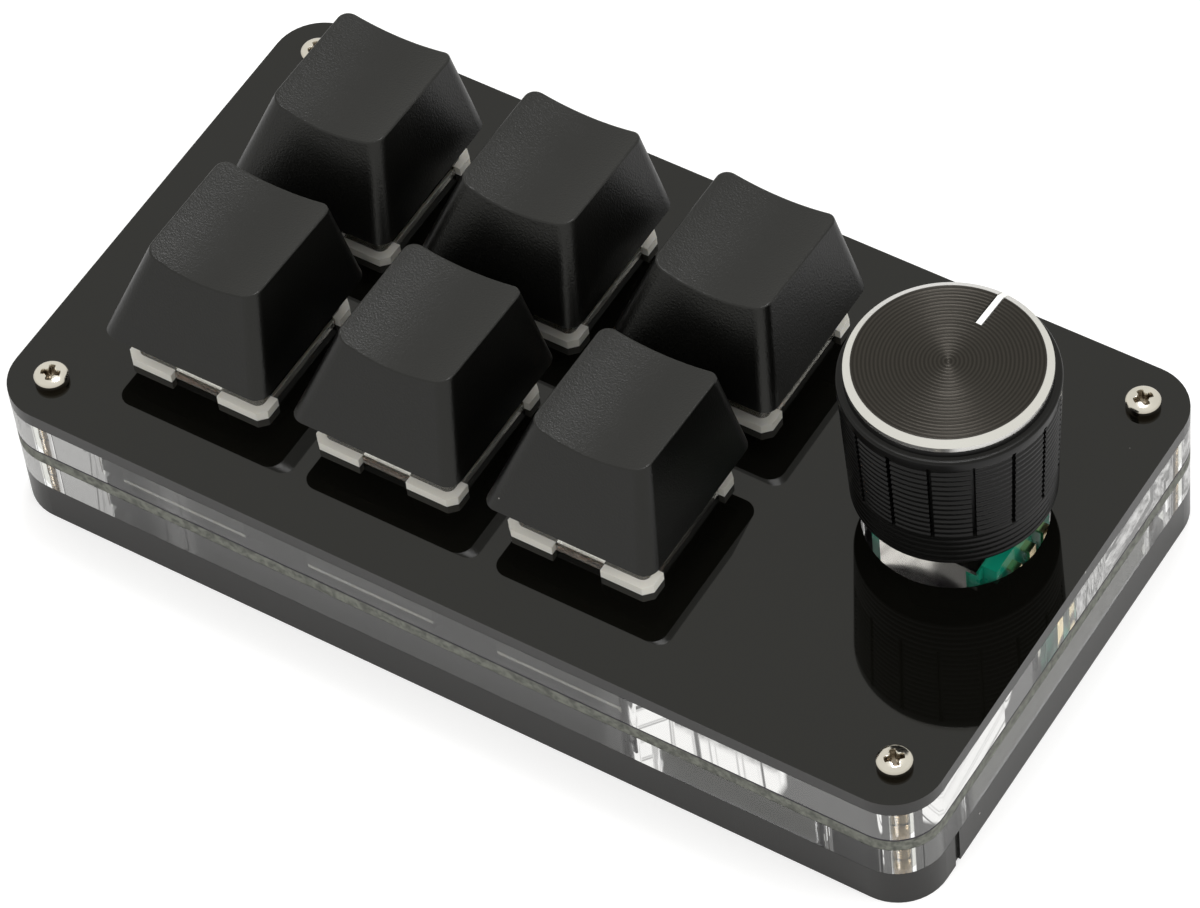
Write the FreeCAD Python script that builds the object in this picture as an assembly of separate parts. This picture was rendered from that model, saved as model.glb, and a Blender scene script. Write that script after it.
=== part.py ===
# A desk macro keypad: six sprung keys in two rows and one knob that turns and
# presses, on a flat case made of five stacked sheets held by four corner screws.
# Millimetres, +Z up, +X along the long side with the knob at its end, +Y away
# from the user. The origin is on the surface it rests on, under the middle of the case.
import FreeCAD, Part
import math
import os

from FreeCAD import Vector

# The stack of sheets, from the bottom up
case_length = 100.0
case_depth = 54.6
case_corner_radius = 5.0
base_plate_thickness = 4.6
lower_spacer_thickness = 3.8
board_thickness = 1.6
upper_spacer_thickness = 3.9
top_plate_thickness = 1.6
row_window_reach_x = 9.0
row_window_reach_y = 8.6
end_window_rib = 3.0
end_window_wall = 3.0
corner_block = 9.8
window_radius = 1.5

# The laser's start mark on the edge of the base plate
start_mark_length = 0.8
start_mark_depth = 0.25
start_mark_from_front = 6.6

# Corner screws and nuts
screw_inset = 4.5
screw_diameter = 2.0
screw_length = 14.6
screw_clearance = 0.1
screw_head_diameter = 3.4
screw_head_height = 1.2
screw_head_rounding = 0.4
recess_width = 0.45
recess_span = 1.9
recess_depth = 0.7
nut_across_flats = 4.0
nut_thickness = 1.6
nut_pocket_depth = 2.4
nut_pocket_clearance = 0.05

# Where the keys and the knob stand
key_columns = 3
key_rows = 2
key_pitch = 21.0
key_grid_x = -11.7
key_grid_y = 0.6
knob_from_end = 13.6
knob_y = 4.0

# Switch housing, heights counted from the face of the top plate
plate_cutout = 14.0
housing_clearance = 0.05
housing_depth = 5.0
housing_floor = 0.8
housing_wall = 1.05
flange_width = 15.6
flange_thickness = 1.0
flange_corner_cut = 0.8
flange_side_notch_depth = 0.6
flange_side_notch_length = 10.6
contact_window_width = 5.2
post_diameter = 4.0
post_length = 3.3
post_floor = 0.7
guide_bore = 2.5
guide_outer_diameter = 3.6
guide_height = 0.8
board_hole_clearance = 0.05

# Clear cover of the switch
cover_height = 6.6
cover_base_half_width = 7.0
cover_top_half_width = 5.6
cover_top_front = 3.4
cover_top_back = 5.8
cover_wall = 0.8
cover_corner_radius = 0.8
cover_tab_clearance = 0.05

# Copper contacts of the switch
leaf_thickness = 0.2
front_leaf_y = -5.08
front_leaf_left = -4.2
front_leaf_right = 2.4
front_leaf_height = 1.9
front_pin_x = -2.54
side_pin_x = 3.81
side_pin_y = -2.54
side_leaf_x = 5.1
side_leaf_length = 2.8
pin_width = 0.9
pin_slot_clearance = 0.05

# Slider that carries the keycap
slider_neck_width = 7.0
slider_shoulder_width = 8.6
slider_depth = 5.8
slider_clearance = 0.1
slider_bottom = 0.9
slider_top = 6.4
slider_shoulder_gap = 0.1
slider_bore = 4.8
slider_bore_top = 5.0
pole_diameter = 2.2
pole_reach = 2.4
cross_span = 4.0
cross_blade = 1.2
cross_height = 3.8

# Return spring of the key
spring_outer_diameter = 4.4
spring_inner_diameter = 3.8

# Keycap, heights counted from its lower edge
keycap_above_plate = 5.0
keycap_base = 18.1
keycap_corner_radius = 1.5
keycap_top_corner_radius = 1.3
keycap_top_half_width = 6.05
keycap_top_front = -4.1
keycap_top_back = 9.0
keycap_front_height = 8.45
keycap_back_height = 8.05
keycap_dish_radius = 23.0
keycap_wall = 1.25
keycap_ceiling = 6.4
keycap_edge_rounding = 0.2
keycap_boss_diameter = 5.5
keycap_boss_gap = 0.05
keycap_boss_root = 0.1
keycap_cross_clearance = 0.02

# Encoder under the knob
plate_knob_hole = 17.3
encoder_back = -5.6
encoder_terminal_side = 7.0
encoder_base_width = 11.0
encoder_terminal_block_width = 9.6
encoder_terminal_block_length = 1.4
encoder_base_height = 4.8
encoder_base_floor = 0.6
encoder_rotor_pocket = 9.6
frame_sheet = 0.5
frame_top_length = 11.2
frame_side_length = 9.0
frame_side_gap = 0.5
frame_leg_width = 2.0
frame_leg_reach = 2.4
bushing_diameter = 7.0
bushing_height = 7.0
bushing_collar_diameter = 9.4
bushing_collar_height = 0.5
shaft_diameter = 6.0
shaft_clearance = 0.05
shaft_top_above_plate = 17.0
shaft_bottom_above_floor = 1.8
shaft_flat_depth = 1.5
shaft_flat_length = 9.0
rotor_diameter = 9.0
rotor_thickness = 1.0
rotor_gap = 0.05
plunger_diameter = 2.6
plunger_height = 0.8
dome_diameter = 5.0
dome_top_diameter = 2.4
dome_sheet = 0.15
terminal_pitch = 2.5
terminal_width = 1.1
terminal_sheet = 0.3
terminal_reach = 1.0
terminal_height = 3.4
terminal_tail = 3.0

# Knob, heights counted from the face of the top plate
knob_bottom = 4.7
knob_bottom_radius = 9.45
knob_shoulder_height = 19.8
knob_shoulder_radius = 10.05
knob_neck_radius = 9.35
knob_neck_height = 21.4
knob_top_height = 21.9
knob_face_radius = 8.56
knob_wall = 1.5
knob_roof = 2.6
knob_hub_diameter = 9.2
knob_hub_gap = 0.8
knob_bore_clearance = 0.02
knob_lower_band = 1.9
knob_upper_band = 1.2
knob_grooves = 16
knob_groove_width = 0.6
knob_groove_depth = 0.6
knob_cap_thickness = 1.0
pointer_width = 0.8
pointer_inner = 4.9
pointer_depth = 0.5
pointer_turn_deg = 87.0

# Connector and controller on the underside of the board
usb_x = -12.0
usb_width = 8.94
usb_height = 3.26
usb_length = 7.3
usb_sheet = 0.3
usb_end_roundness = 0.98
usb_tongue_width = 6.7
usb_tongue_thickness = 0.7
usb_tongue_length = 5.0
usb_opening_clearance = 0.3
chip_x = 27.5
chip_y = 14.0
chip_width = 7.0
chip_thickness = 1.4

# Heights and places worked out from these
lower_spacer_z = base_plate_thickness
board_z = lower_spacer_z + lower_spacer_thickness
board_top = board_z + board_thickness
top_plate_z = board_top + upper_spacer_thickness
plate_face = top_plate_z + top_plate_thickness
knob_x = case_length / 2 - knob_from_end
screw_x = case_length / 2 - screw_inset
screw_y = case_depth / 2 - screw_inset
screw_places = [(sx * screw_x, sy * screw_y) for sx in (-1, 1) for sy in (-1, 1)]
key_places = [
    (key_grid_x + (column - (key_columns - 1) / 2) * key_pitch,
     key_grid_y + ((key_rows - 1) / 2 - row) * key_pitch)
    for row in range(key_rows) for column in range(key_columns)
]


def block(x0, x1, y0, y1, z0, z1):
    """A box between two corners."""
    return Part.makeBox(x1 - x0, y1 - y0, z1 - z0, Vector(x0, y0, z0))


def rod(x, y, z0, z1, diameter):
    """An upright cylinder."""
    return Part.makeCylinder(diameter / 2, z1 - z0, Vector(x, y, z0))


def rounded_outline(x0, x1, y0, y1, z, radius):
    """A closed rectangle with round corners, lying flat at height z."""
    k = radius * (1 - math.sqrt(0.5))
    corners = [
        (Vector(x1, y1 - radius, z), Vector(x1 - k, y1 - k, z), Vector(x1 - radius, y1, z)),
        (Vector(x0 + radius, y1, z), Vector(x0 + k, y1 - k, z), Vector(x0, y1 - radius, z)),
        (Vector(x0, y0 + radius, z), Vector(x0 + k, y0 + k, z), Vector(x0 + radius, y0, z)),
        (Vector(x1 - radius, y0, z), Vector(x1 - k, y0 + k, z), Vector(x1, y0 + radius, z)),
    ]
    edges = []
    for number, (start, middle, end) in enumerate(corners):
        edges.append(Part.Arc(start, middle, end).toShape())
        next_start = corners[(number + 1) % len(corners)][0]
        edges.append(Part.LineSegment(end, next_start).toShape())
    return Part.Wire(edges)


def slab(x0, x1, y0, y1, z0, z1, radius):
    """A plate with round corners."""
    outline = rounded_outline(x0, x1, y0, y1, z0, radius)
    return Part.Face(outline).extrude(Vector(0, 0, z1 - z0))


def lofted(low, high, radius_low, radius_high):
    """A tapering block between two round-cornered rectangles (x0, x1, y0, y1, z)."""
    wires = [rounded_outline(*low, radius_low), rounded_outline(*high, radius_high)]
    return Part.makeLoft(wires, True, True)


def turned(points, x, y):
    """A solid of revolution about the upright axis at x, y from (radius, height) points."""
    path = [Vector(x + radius, y, height) for radius, height in points]
    outline = Part.makePolygon(path + path[:1])
    return Part.Face(outline).revolve(Vector(x, y, 0), Vector(0, 0, 1), 360)


def cut_all(shape, tools):
    """Takes a list of tools away from a shape."""
    return shape.cut(Part.makeCompound(tools))


def save(name, shape):
    """Writes one node; a list becomes a group of separate solids."""
    if isinstance(shape, list):
        shape = Part.makeCompound([piece for item in shape for piece in item.Solids])
    shape.exportStep("parts/" + name + ".step")


def case_sheet(z0, z1):
    """One sheet with the outline of the case."""
    return slab(-case_length / 2, case_length / 2, -case_depth / 2, case_depth / 2,
                z0, z1, case_corner_radius)


def screw_holes(z0, z1):
    """The four corner holes through a sheet."""
    return [rod(x, y, z0, z1, screw_diameter + 2 * screw_clearance) for x, y in screw_places]


def hexagon(x, y, z0, z1, across_flats):
    """An upright six-sided prism."""
    reach = across_flats / math.sqrt(3)
    points = [
        Vector(x + reach * math.cos(math.radians(60 * n)), y + reach * math.sin(math.radians(60 * n)), z0)
        for n in range(7)
    ]
    return Part.Face(Part.makePolygon(points)).extrude(Vector(0, 0, z1 - z0))


def base_plate():
    """Black bottom sheet with a pocket for each nut and the laser's start mark."""
    pockets = [
        hexagon(x, y, 0, nut_pocket_depth, nut_across_flats + 2 * nut_pocket_clearance)
        for x, y in screw_places
    ]
    mark_y = -case_depth / 2 + start_mark_from_front
    mark = block(case_length / 2 - start_mark_depth, case_length / 2,
                 mark_y, mark_y + start_mark_length, 0, base_plate_thickness)
    return cut_all(case_sheet(0, base_plate_thickness),
                   pockets + screw_holes(0, base_plate_thickness) + [mark])


def row_windows(z0, z1):
    """The long window around each row of keys."""
    x0 = min(x for x, y in key_places) - row_window_reach_x
    x1 = max(x for x, y in key_places) + row_window_reach_x
    rows = sorted({y for x, y in key_places})
    return [slab(x0, x1, y - row_window_reach_y, y + row_window_reach_y, z0, z1, window_radius)
            for y in rows]


def end_window(z0, z1):
    """The window under the knob, drawn in beside the two corner screws."""
    x0 = max(x for x, y in key_places) + row_window_reach_x + end_window_rib
    wide = slab(x0, case_length / 2 - end_window_wall, -case_depth / 2 + corner_block,
                case_depth / 2 - corner_block, z0, z1, window_radius)
    deep = slab(x0, case_length / 2 - corner_block, -case_depth / 2 + end_window_wall,
                case_depth / 2 - end_window_wall, z0, z1, window_radius)
    return wide.fuse(deep)


def upper_spacer():
    """Clear sheet between board and top plate, open around the keys and the knob's encoder."""
    hole = rod(knob_x, knob_y, board_top, top_plate_z, plate_knob_hole)
    return cut_all(case_sheet(board_top, top_plate_z),
                   row_windows(board_top, top_plate_z) + screw_holes(board_top, top_plate_z) + [hole])


def lower_spacer():
    """Clear sheet under the board, open under keys and knob, and at the back for the connector."""
    half = usb_width / 2 + usb_opening_clearance
    opening = block(usb_x - half, usb_x + half, max(y for x, y in key_places), case_depth / 2,
                    lower_spacer_z, board_z)
    windows = row_windows(lower_spacer_z, board_z) + [end_window(lower_spacer_z, board_z)]
    return cut_all(case_sheet(lower_spacer_z, board_z),
                   windows + screw_holes(lower_spacer_z, board_z)).cut(opening)


def pin_boxes(x, y, z0, z1, grow):
    """The two contact pins of a switch, or their holes when grow is more than 0."""
    w = pin_width / 2 + grow
    t = leaf_thickness / 2 + grow
    return [
        block(x + front_pin_x - w, x + front_pin_x + w, y + front_leaf_y - t, y + front_leaf_y + t, z0, z1),
        block(x + side_pin_x - w, x + side_pin_x + w, y + side_pin_y - t, y + side_pin_y + t, z0, z1),
    ]


def encoder_leg_boxes(z0, z1, grow):
    """The two frame legs of the encoder, or their slots when grow is more than 0."""
    legs = []
    for side in (-1, 1):
        inner = side * encoder_base_width / 2
        outer = inner + side * frame_sheet
        legs.append(block(knob_x - frame_leg_width / 2 - grow, knob_x + frame_leg_width / 2 + grow,
                          knob_y + min(inner, outer) - grow, knob_y + max(inner, outer) + grow, z0, z1))
    return legs


def terminal_places():
    """Middle of each terminal's tail and the side of the encoder it stands on."""
    right = knob_x + encoder_terminal_side
    left = knob_x + encoder_back
    places = [(right, 1, knob_y + n * terminal_pitch) for n in (-1, 0, 1)]
    places += [(left, -1, knob_y + n * terminal_pitch) for n in (-1, 1)]
    return places


def terminal_tail_box(face_x, side, y, z0, z1, grow):
    """The upright tail of one terminal, or its hole when grow is more than 0."""
    near = face_x + side * (terminal_reach - terminal_sheet)
    far = face_x + side * terminal_reach
    return block(min(near, far) - grow, max(near, far) + grow,
                 y - terminal_width / 2 - grow, y + terminal_width / 2 + grow, z0, z1)


def circuit_board():
    """The board, drilled for screws, switch posts and pins, and the encoder."""
    holes = screw_holes(board_z, board_top)
    for x, y in key_places:
        holes.append(rod(x, y, board_z, board_top, post_diameter + 2 * board_hole_clearance))
        holes += pin_boxes(x, y, board_z, board_top, board_hole_clearance)
    holes += encoder_leg_boxes(board_z, board_top, board_hole_clearance)
    for face_x, side, y in terminal_places():
        holes.append(terminal_tail_box(face_x, side, y, board_z, board_top, board_hole_clearance))
    return cut_all(case_sheet(board_z, board_top), holes)


def top_plate():
    """Black top sheet with six square switch openings and the round one for the knob."""
    half = plate_cutout / 2
    holes = screw_holes(top_plate_z, plate_face)
    for x, y in key_places:
        holes.append(block(x - half, x + half, y - half, y + half, top_plate_z, plate_face))
    holes.append(rod(knob_x, knob_y, top_plate_z, plate_face, plate_knob_hole))
    return cut_all(case_sheet(top_plate_z, plate_face), holes)


def case_screw(x, y):
    """A pan-head screw with a cross recess."""
    top = plate_face + screw_head_height
    head = rod(x, y, plate_face, top, screw_head_diameter)
    rim = [edge for edge in head.Edges if edge.BoundBox.ZMin > top - screw_head_rounding]
    head = head.makeFillet(screw_head_rounding, rim)
    shank = rod(x, y, plate_face - screw_length, plate_face, screw_diameter)
    half = recess_width / 2
    span = recess_span / 2
    recess = [
        block(x - span, x + span, y - half, y + half, top - recess_depth, top),
        block(x - half, x + half, y - span, y + span, top - recess_depth, top),
    ]
    return cut_all(head.fuse(shank), recess)


def corner_nut(x, y):
    """A hex nut at the inner end of its pocket."""
    z1 = nut_pocket_depth
    z0 = z1 - nut_thickness
    return hexagon(x, y, z0, z1, nut_across_flats).cut(rod(x, y, z0, z1, screw_diameter))


def usb_shell():
    """Steel shell of the connector, open at the back edge of the case."""
    x0 = usb_x - usb_width / 2
    x1 = usb_x + usb_width / 2
    y0 = case_depth / 2 - usb_length
    radius = usb_end_roundness * usb_height / 2
    outer = slab(x0, x1, -usb_height, 0, 0, usb_length, radius)
    inner = slab(x0 + usb_sheet, x1 - usb_sheet, -usb_height + usb_sheet, -usb_sheet,
                 usb_sheet, usb_length, radius - usb_sheet)
    shell = outer.cut(inner)
    shell.rotate(Vector(0, 0, 0), Vector(1, 0, 0), -90)
    top = shell.BoundBox.ZMax
    shell.translate(Vector(0, y0 - shell.BoundBox.YMin, board_z - top))
    return shell


def usb_tongue():
    """Contact tongue inside the connector."""
    y0 = case_depth / 2 - usb_length + usb_sheet
    z0 = board_z - usb_height / 2 - usb_tongue_thickness / 2
    return block(usb_x - usb_tongue_width / 2, usb_x + usb_tongue_width / 2,
                 y0, y0 + usb_tongue_length, z0, z0 + usb_tongue_thickness)


def controller_chip():
    """The controller on the underside of the board."""
    half = chip_width / 2
    return slab(chip_x - half, chip_x + half, chip_y - half, chip_y + half,
                board_z - chip_thickness, board_z, chip_thickness / 4)


def switch_housing(x, y):
    """White lower housing: its flange lies on the plate, its post goes into the board."""
    half = plate_cutout / 2 - housing_clearance
    cavity = half - housing_wall
    bottom = plate_face - housing_depth
    floor = bottom + housing_floor
    top = plate_face + flange_thickness
    flange_half = flange_width / 2
    body = block(x - half, x + half, y - half, y + half, bottom, plate_face)
    flange = block(x - flange_half, x + flange_half, y - flange_half, y + flange_half, plate_face, top)
    upright = [edge for edge in flange.Edges if edge.BoundBox.ZLength > flange_thickness / 2]
    flange = flange.makeChamfer(flange_corner_cut, upright)
    post = rod(x, y, bottom - post_length, bottom, post_diameter)
    guide = rod(x, y, floor, floor + guide_height, guide_outer_diameter)
    window = contact_window_width / 2
    side = flange_side_notch_length / 2
    tools = [
        block(x - window, x + window, y - flange_half, y - cavity, plate_face, top),
        block(x - window, x + window, y + cavity, y + flange_half, plate_face, top),
        block(x + cavity, x + flange_half, y - side, y + side, plate_face, top),
        block(x - flange_half, x - cavity, y - side, y + side, plate_face, top),
    ]
    hollow = block(x - cavity, x + cavity, y - cavity, y + cavity, floor, top)
    shell = cut_all(body.fuse([flange, post]), tools + [hollow])
    bore = rod(x, y, bottom - post_length + post_floor, floor + guide_height, guide_bore)
    slots = pin_boxes(x, y, bottom, floor, pin_slot_clearance)
    return cut_all(shell.fuse(guide), [bore] + slots)


def cover_section(x, y, height, inset):
    """Outline of the tapering cover at a height above the plate, drawn in by inset."""
    part = (height - flange_thickness) / (cover_height - flange_thickness)
    wide = cover_base_half_width + part * (cover_top_half_width - cover_base_half_width) - inset
    front = cover_base_half_width + part * (cover_top_front - cover_base_half_width) - inset
    back = cover_base_half_width + part * (cover_top_back - cover_base_half_width) - inset
    return (x - wide, x + wide, y - front, y + back, plate_face + height)


def switch_cover(x, y):
    """Clear upper housing with the opening for the slider and a tab in each notch of the flange."""
    outer = lofted(cover_section(x, y, flange_thickness, 0), cover_section(x, y, cover_height, 0),
                   cover_corner_radius, cover_corner_radius)
    roof = cover_height - cover_wall
    inner = lofted(cover_section(x, y, flange_thickness, cover_wall),
                   cover_section(x, y, roof, cover_wall),
                   cover_corner_radius / 2, cover_corner_radius / 2)
    half_x = slider_neck_width / 2 + slider_clearance
    half_y = slider_depth / 2 + slider_clearance
    opening = block(x - half_x, x + half_x, y - half_y, y + half_y,
                    plate_face + flange_thickness, plate_face + cover_height)
    tab_half = contact_window_width / 2 - cover_tab_clearance
    cavity = plate_cutout / 2 - housing_clearance - housing_wall
    tab_outer = flange_width / 2 - flange_side_notch_depth
    low = plate_face + cover_tab_clearance
    high = plate_face + flange_thickness
    side_half = flange_side_notch_length / 2 - cover_tab_clearance
    tabs = [
        block(x - tab_half, x + tab_half, y - tab_outer, y - cavity, low, high),
        block(x - tab_half, x + tab_half, y + cavity, y + tab_outer, low, high),
        block(x - tab_outer, x - cavity, y - side_half, y + side_half, low, high),
        block(x + cavity, x + tab_outer, y - side_half, y + side_half, low, high),
    ]
    return cut_all(outer, [inner, opening]).fuse(tabs)


def switch_contacts(x, y):
    """Two separate copper leaves, each with its pin through the board."""
    bottom = plate_face - housing_depth
    floor = bottom + housing_floor
    tip = bottom - post_length
    t = leaf_thickness / 2
    front_pin, side_pin = pin_boxes(x, y, tip, floor, 0)
    front_plate = block(x + front_leaf_left, x + front_leaf_right, y + front_leaf_y - t,
                        y + front_leaf_y + t, floor, plate_face + front_leaf_height)
    foot = block(x + side_pin_x - pin_width / 2, x + side_leaf_x + t, y + side_pin_y - t,
                 y + side_pin_y + t, floor, floor + leaf_thickness)
    side_plate = block(x + side_leaf_x - t, x + side_leaf_x + t, y + side_pin_y - side_leaf_length + t,
                       y + side_pin_y + t, floor, plate_face + front_leaf_height)
    return [front_pin.fuse(front_plate), side_pin.fuse([foot, side_plate])]


def switch_spring(x, y):
    """Return spring, as the sleeve that its turns fill, around the guide."""
    floor = plate_face - housing_depth + housing_floor
    top = plate_face + slider_bore_top
    return rod(x, y, floor, top, spring_outer_diameter).cut(rod(x, y, floor, top, spring_inner_diameter))


def cross(x, y, z0, z1, grow):
    """The cross-shaped peg of the slider, or its socket when grow is more than 0."""
    span = cross_span / 2 + grow
    blade = cross_blade / 2 + grow
    return block(x - span, x + span, y - blade, y + blade, z0, z1).fuse(
        block(x - blade, x + blade, y - span, y + span, z0, z1))


def key_stem(x, y):
    """Slider with shoulders under the cover, the spring's bore, its pole and the cross."""
    low = plate_face + slider_bottom
    shoulder = plate_face + cover_height - cover_wall - slider_shoulder_gap
    top = plate_face + slider_top
    half_y = slider_depth / 2
    wide = slider_shoulder_width / 2
    neck = slider_neck_width / 2
    body = block(x - wide, x + wide, y - half_y, y + half_y, low, shoulder)
    body = body.fuse(block(x - neck, x + neck, y - half_y, y + half_y, shoulder, top))
    body = body.cut(rod(x, y, low, plate_face + slider_bore_top, slider_bore))
    pole = rod(x, y, plate_face - pole_reach, plate_face + slider_bore_top, pole_diameter)
    return body.fuse([pole, cross(x, y, top, top + cross_height, 0)])


def key_cap(x, y):
    """Keycap: sloping front, dished top, hollow inside with a boss for the cross."""
    low = plate_face + keycap_above_plate
    half = keycap_base / 2
    reach = keycap_front_height
    base = (x - half, x + half, y - half, y + half, low)
    face = (x - keycap_top_half_width, x + keycap_top_half_width,
            y + keycap_top_front, y + keycap_top_back, low + reach)
    outer = lofted(base, face, keycap_corner_radius, keycap_top_corner_radius)
    inside_low = (base[0] + keycap_wall, base[1] - keycap_wall, base[2] + keycap_wall,
                  base[3] - keycap_wall, low)
    part = keycap_ceiling / reach
    inside_high = tuple(
        base[n] + part * (face[n] - base[n]) + (keycap_wall if n % 2 == 0 else -keycap_wall)
        for n in range(4)) + (low + keycap_ceiling,)
    inner = lofted(inside_low, inside_high, keycap_corner_radius / 2, keycap_corner_radius / 2)
    depth = keycap_top_back - keycap_top_front
    tilt = math.degrees(math.atan((keycap_front_height - keycap_back_height) / depth))
    sag = keycap_dish_radius - math.sqrt(keycap_dish_radius ** 2 - keycap_top_half_width ** 2)
    dish = Part.makeCylinder(keycap_dish_radius, 2 * keycap_base, Vector(x, y - keycap_base, 0),
                             Vector(0, 1, 0))
    middle_y = y + (keycap_top_front + keycap_top_back) / 2
    middle_z = low + (keycap_front_height + keycap_back_height) / 2 - sag
    dish.translate(Vector(0, 0, middle_z + keycap_dish_radius))
    dish.rotate(Vector(x, middle_y, middle_z), Vector(1, 0, 0), -tilt)
    shell = cut_all(outer, [inner, dish]).Solids[0]
    face_edges = [edge for edge in shell.Edges if edge.BoundBox.ZMin > low + keycap_ceiling]
    shell = shell.makeFillet(keycap_edge_rounding, face_edges)
    boss_low = plate_face + slider_top + keycap_boss_gap
    boss = rod(x, y, boss_low, low + keycap_ceiling + keycap_boss_root, keycap_boss_diameter)
    socket = cross(x, y, boss_low, plate_face + slider_top + cross_height + keycap_cross_clearance,
                   keycap_cross_clearance)
    return shell.fuse(boss).cut(socket)


def encoder_base():
    """Green resin body of the encoder with the round pocket for its rotor."""
    top = board_top + encoder_base_height
    floor = board_top + encoder_base_floor
    half = encoder_base_width / 2
    step = encoder_terminal_block_width / 2
    step_x = knob_x + encoder_terminal_side - encoder_terminal_block_length
    body = block(knob_x + encoder_back, step_x, knob_y - half, knob_y + half, board_top, top)
    body = body.fuse(block(step_x, knob_x + encoder_terminal_side, knob_y - step, knob_y + step,
                           board_top, top))
    return body.cut(rod(knob_x, knob_y, floor, top, encoder_rotor_pocket))


def frame_top_z():
    """Height of the upper face of the encoder's metal frame."""
    return board_top + encoder_base_height + frame_sheet


def encoder_frame():
    """Folded metal cover with two side plates and their legs."""
    low = board_top + encoder_base_height
    top = frame_top_z()
    half_x = frame_top_length / 2
    half_y = encoder_base_width / 2 + frame_sheet
    side_half = frame_side_length / 2
    sheet = block(knob_x - half_x, knob_x + half_x, knob_y - half_y, knob_y + half_y, low, top)
    sides = []
    for side in (-1, 1):
        inner = side * encoder_base_width / 2
        outer = side * half_y
        sides.append(block(knob_x - side_half, knob_x + side_half, knob_y + min(inner, outer),
                           knob_y + max(inner, outer), board_top + frame_side_gap, top))
    legs = encoder_leg_boxes(board_top - frame_leg_reach, top, 0)
    hole = rod(knob_x, knob_y, low, top, shaft_diameter + 2 * shaft_clearance)
    return sheet.fuse(sides + legs).cut(hole)


def encoder_bushing():
    """Threaded bushing on the frame, which guides the shaft."""
    low = frame_top_z()
    collar = rod(knob_x, knob_y, low, low + bushing_collar_height, bushing_collar_diameter)
    sleeve = rod(knob_x, knob_y, low, low + bushing_height, bushing_diameter)
    bore = rod(knob_x, knob_y, low, low + bushing_height, shaft_diameter + 2 * shaft_clearance)
    return collar.fuse(sleeve).cut(bore)


def encoder_terminals():
    """Five bent terminals: three on the side of the knob's turn contacts, two on the other."""
    pieces = []
    for face_x, side, y in terminal_places():
        z1 = board_top + terminal_height
        far = face_x + side * terminal_reach
        arm = block(min(face_x, far), max(face_x, far), y - terminal_width / 2, y + terminal_width / 2,
                    z1 - terminal_sheet, z1)
        pieces.append(arm.fuse(terminal_tail_box(face_x, side, y, board_top - terminal_tail, z1, 0)))
    return pieces


def encoder_dome():
    """Snap dome under the plunger, a thin cone that flattens when the knob is pressed."""
    floor = board_top + encoder_base_floor
    top = floor + shaft_bottom_above_floor - plunger_height
    wide = dome_diameter / 2
    narrow = dome_top_diameter / 2
    return turned([(wide - dome_sheet * 2, floor), (wide, floor), (narrow, top), (0, top),
                   (0, top - dome_sheet), (narrow - dome_sheet, top - dome_sheet)], knob_x, knob_y)


def encoder_plunger():
    """Push rod between the shaft and the dome."""
    top = board_top + encoder_base_floor + shaft_bottom_above_floor
    return rod(knob_x, knob_y, top - plunger_height, top, plunger_diameter)


def encoder_shaft():
    """Turning shaft with its rotor disc and the flat for the knob."""
    low = board_top + encoder_base_floor + shaft_bottom_above_floor
    top = plate_face + shaft_top_above_plate
    rotor_top = board_top + encoder_base_height - rotor_gap
    shaft = rod(knob_x, knob_y, low, top, shaft_diameter)
    rotor = rod(knob_x, knob_y, rotor_top - rotor_thickness, rotor_top, rotor_diameter)
    return shaft.cut(shaft_flat(top - shaft_flat_length, top, 0)).fuse(rotor)


def shaft_flat(z0, z1, gap):
    """What the flat takes away from the shaft."""
    radius = shaft_diameter / 2
    edge = knob_x + radius - shaft_flat_depth + gap
    return block(edge, edge + 2 * radius, knob_y - 2 * radius, knob_y + 2 * radius, z0, z1)


def knob_outline_radius(height):
    """Radius of the tapering grip at a height above the plate."""
    part = (height - knob_bottom) / (knob_shoulder_height - knob_bottom)
    return knob_bottom_radius + part * (knob_shoulder_radius - knob_bottom_radius)


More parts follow.
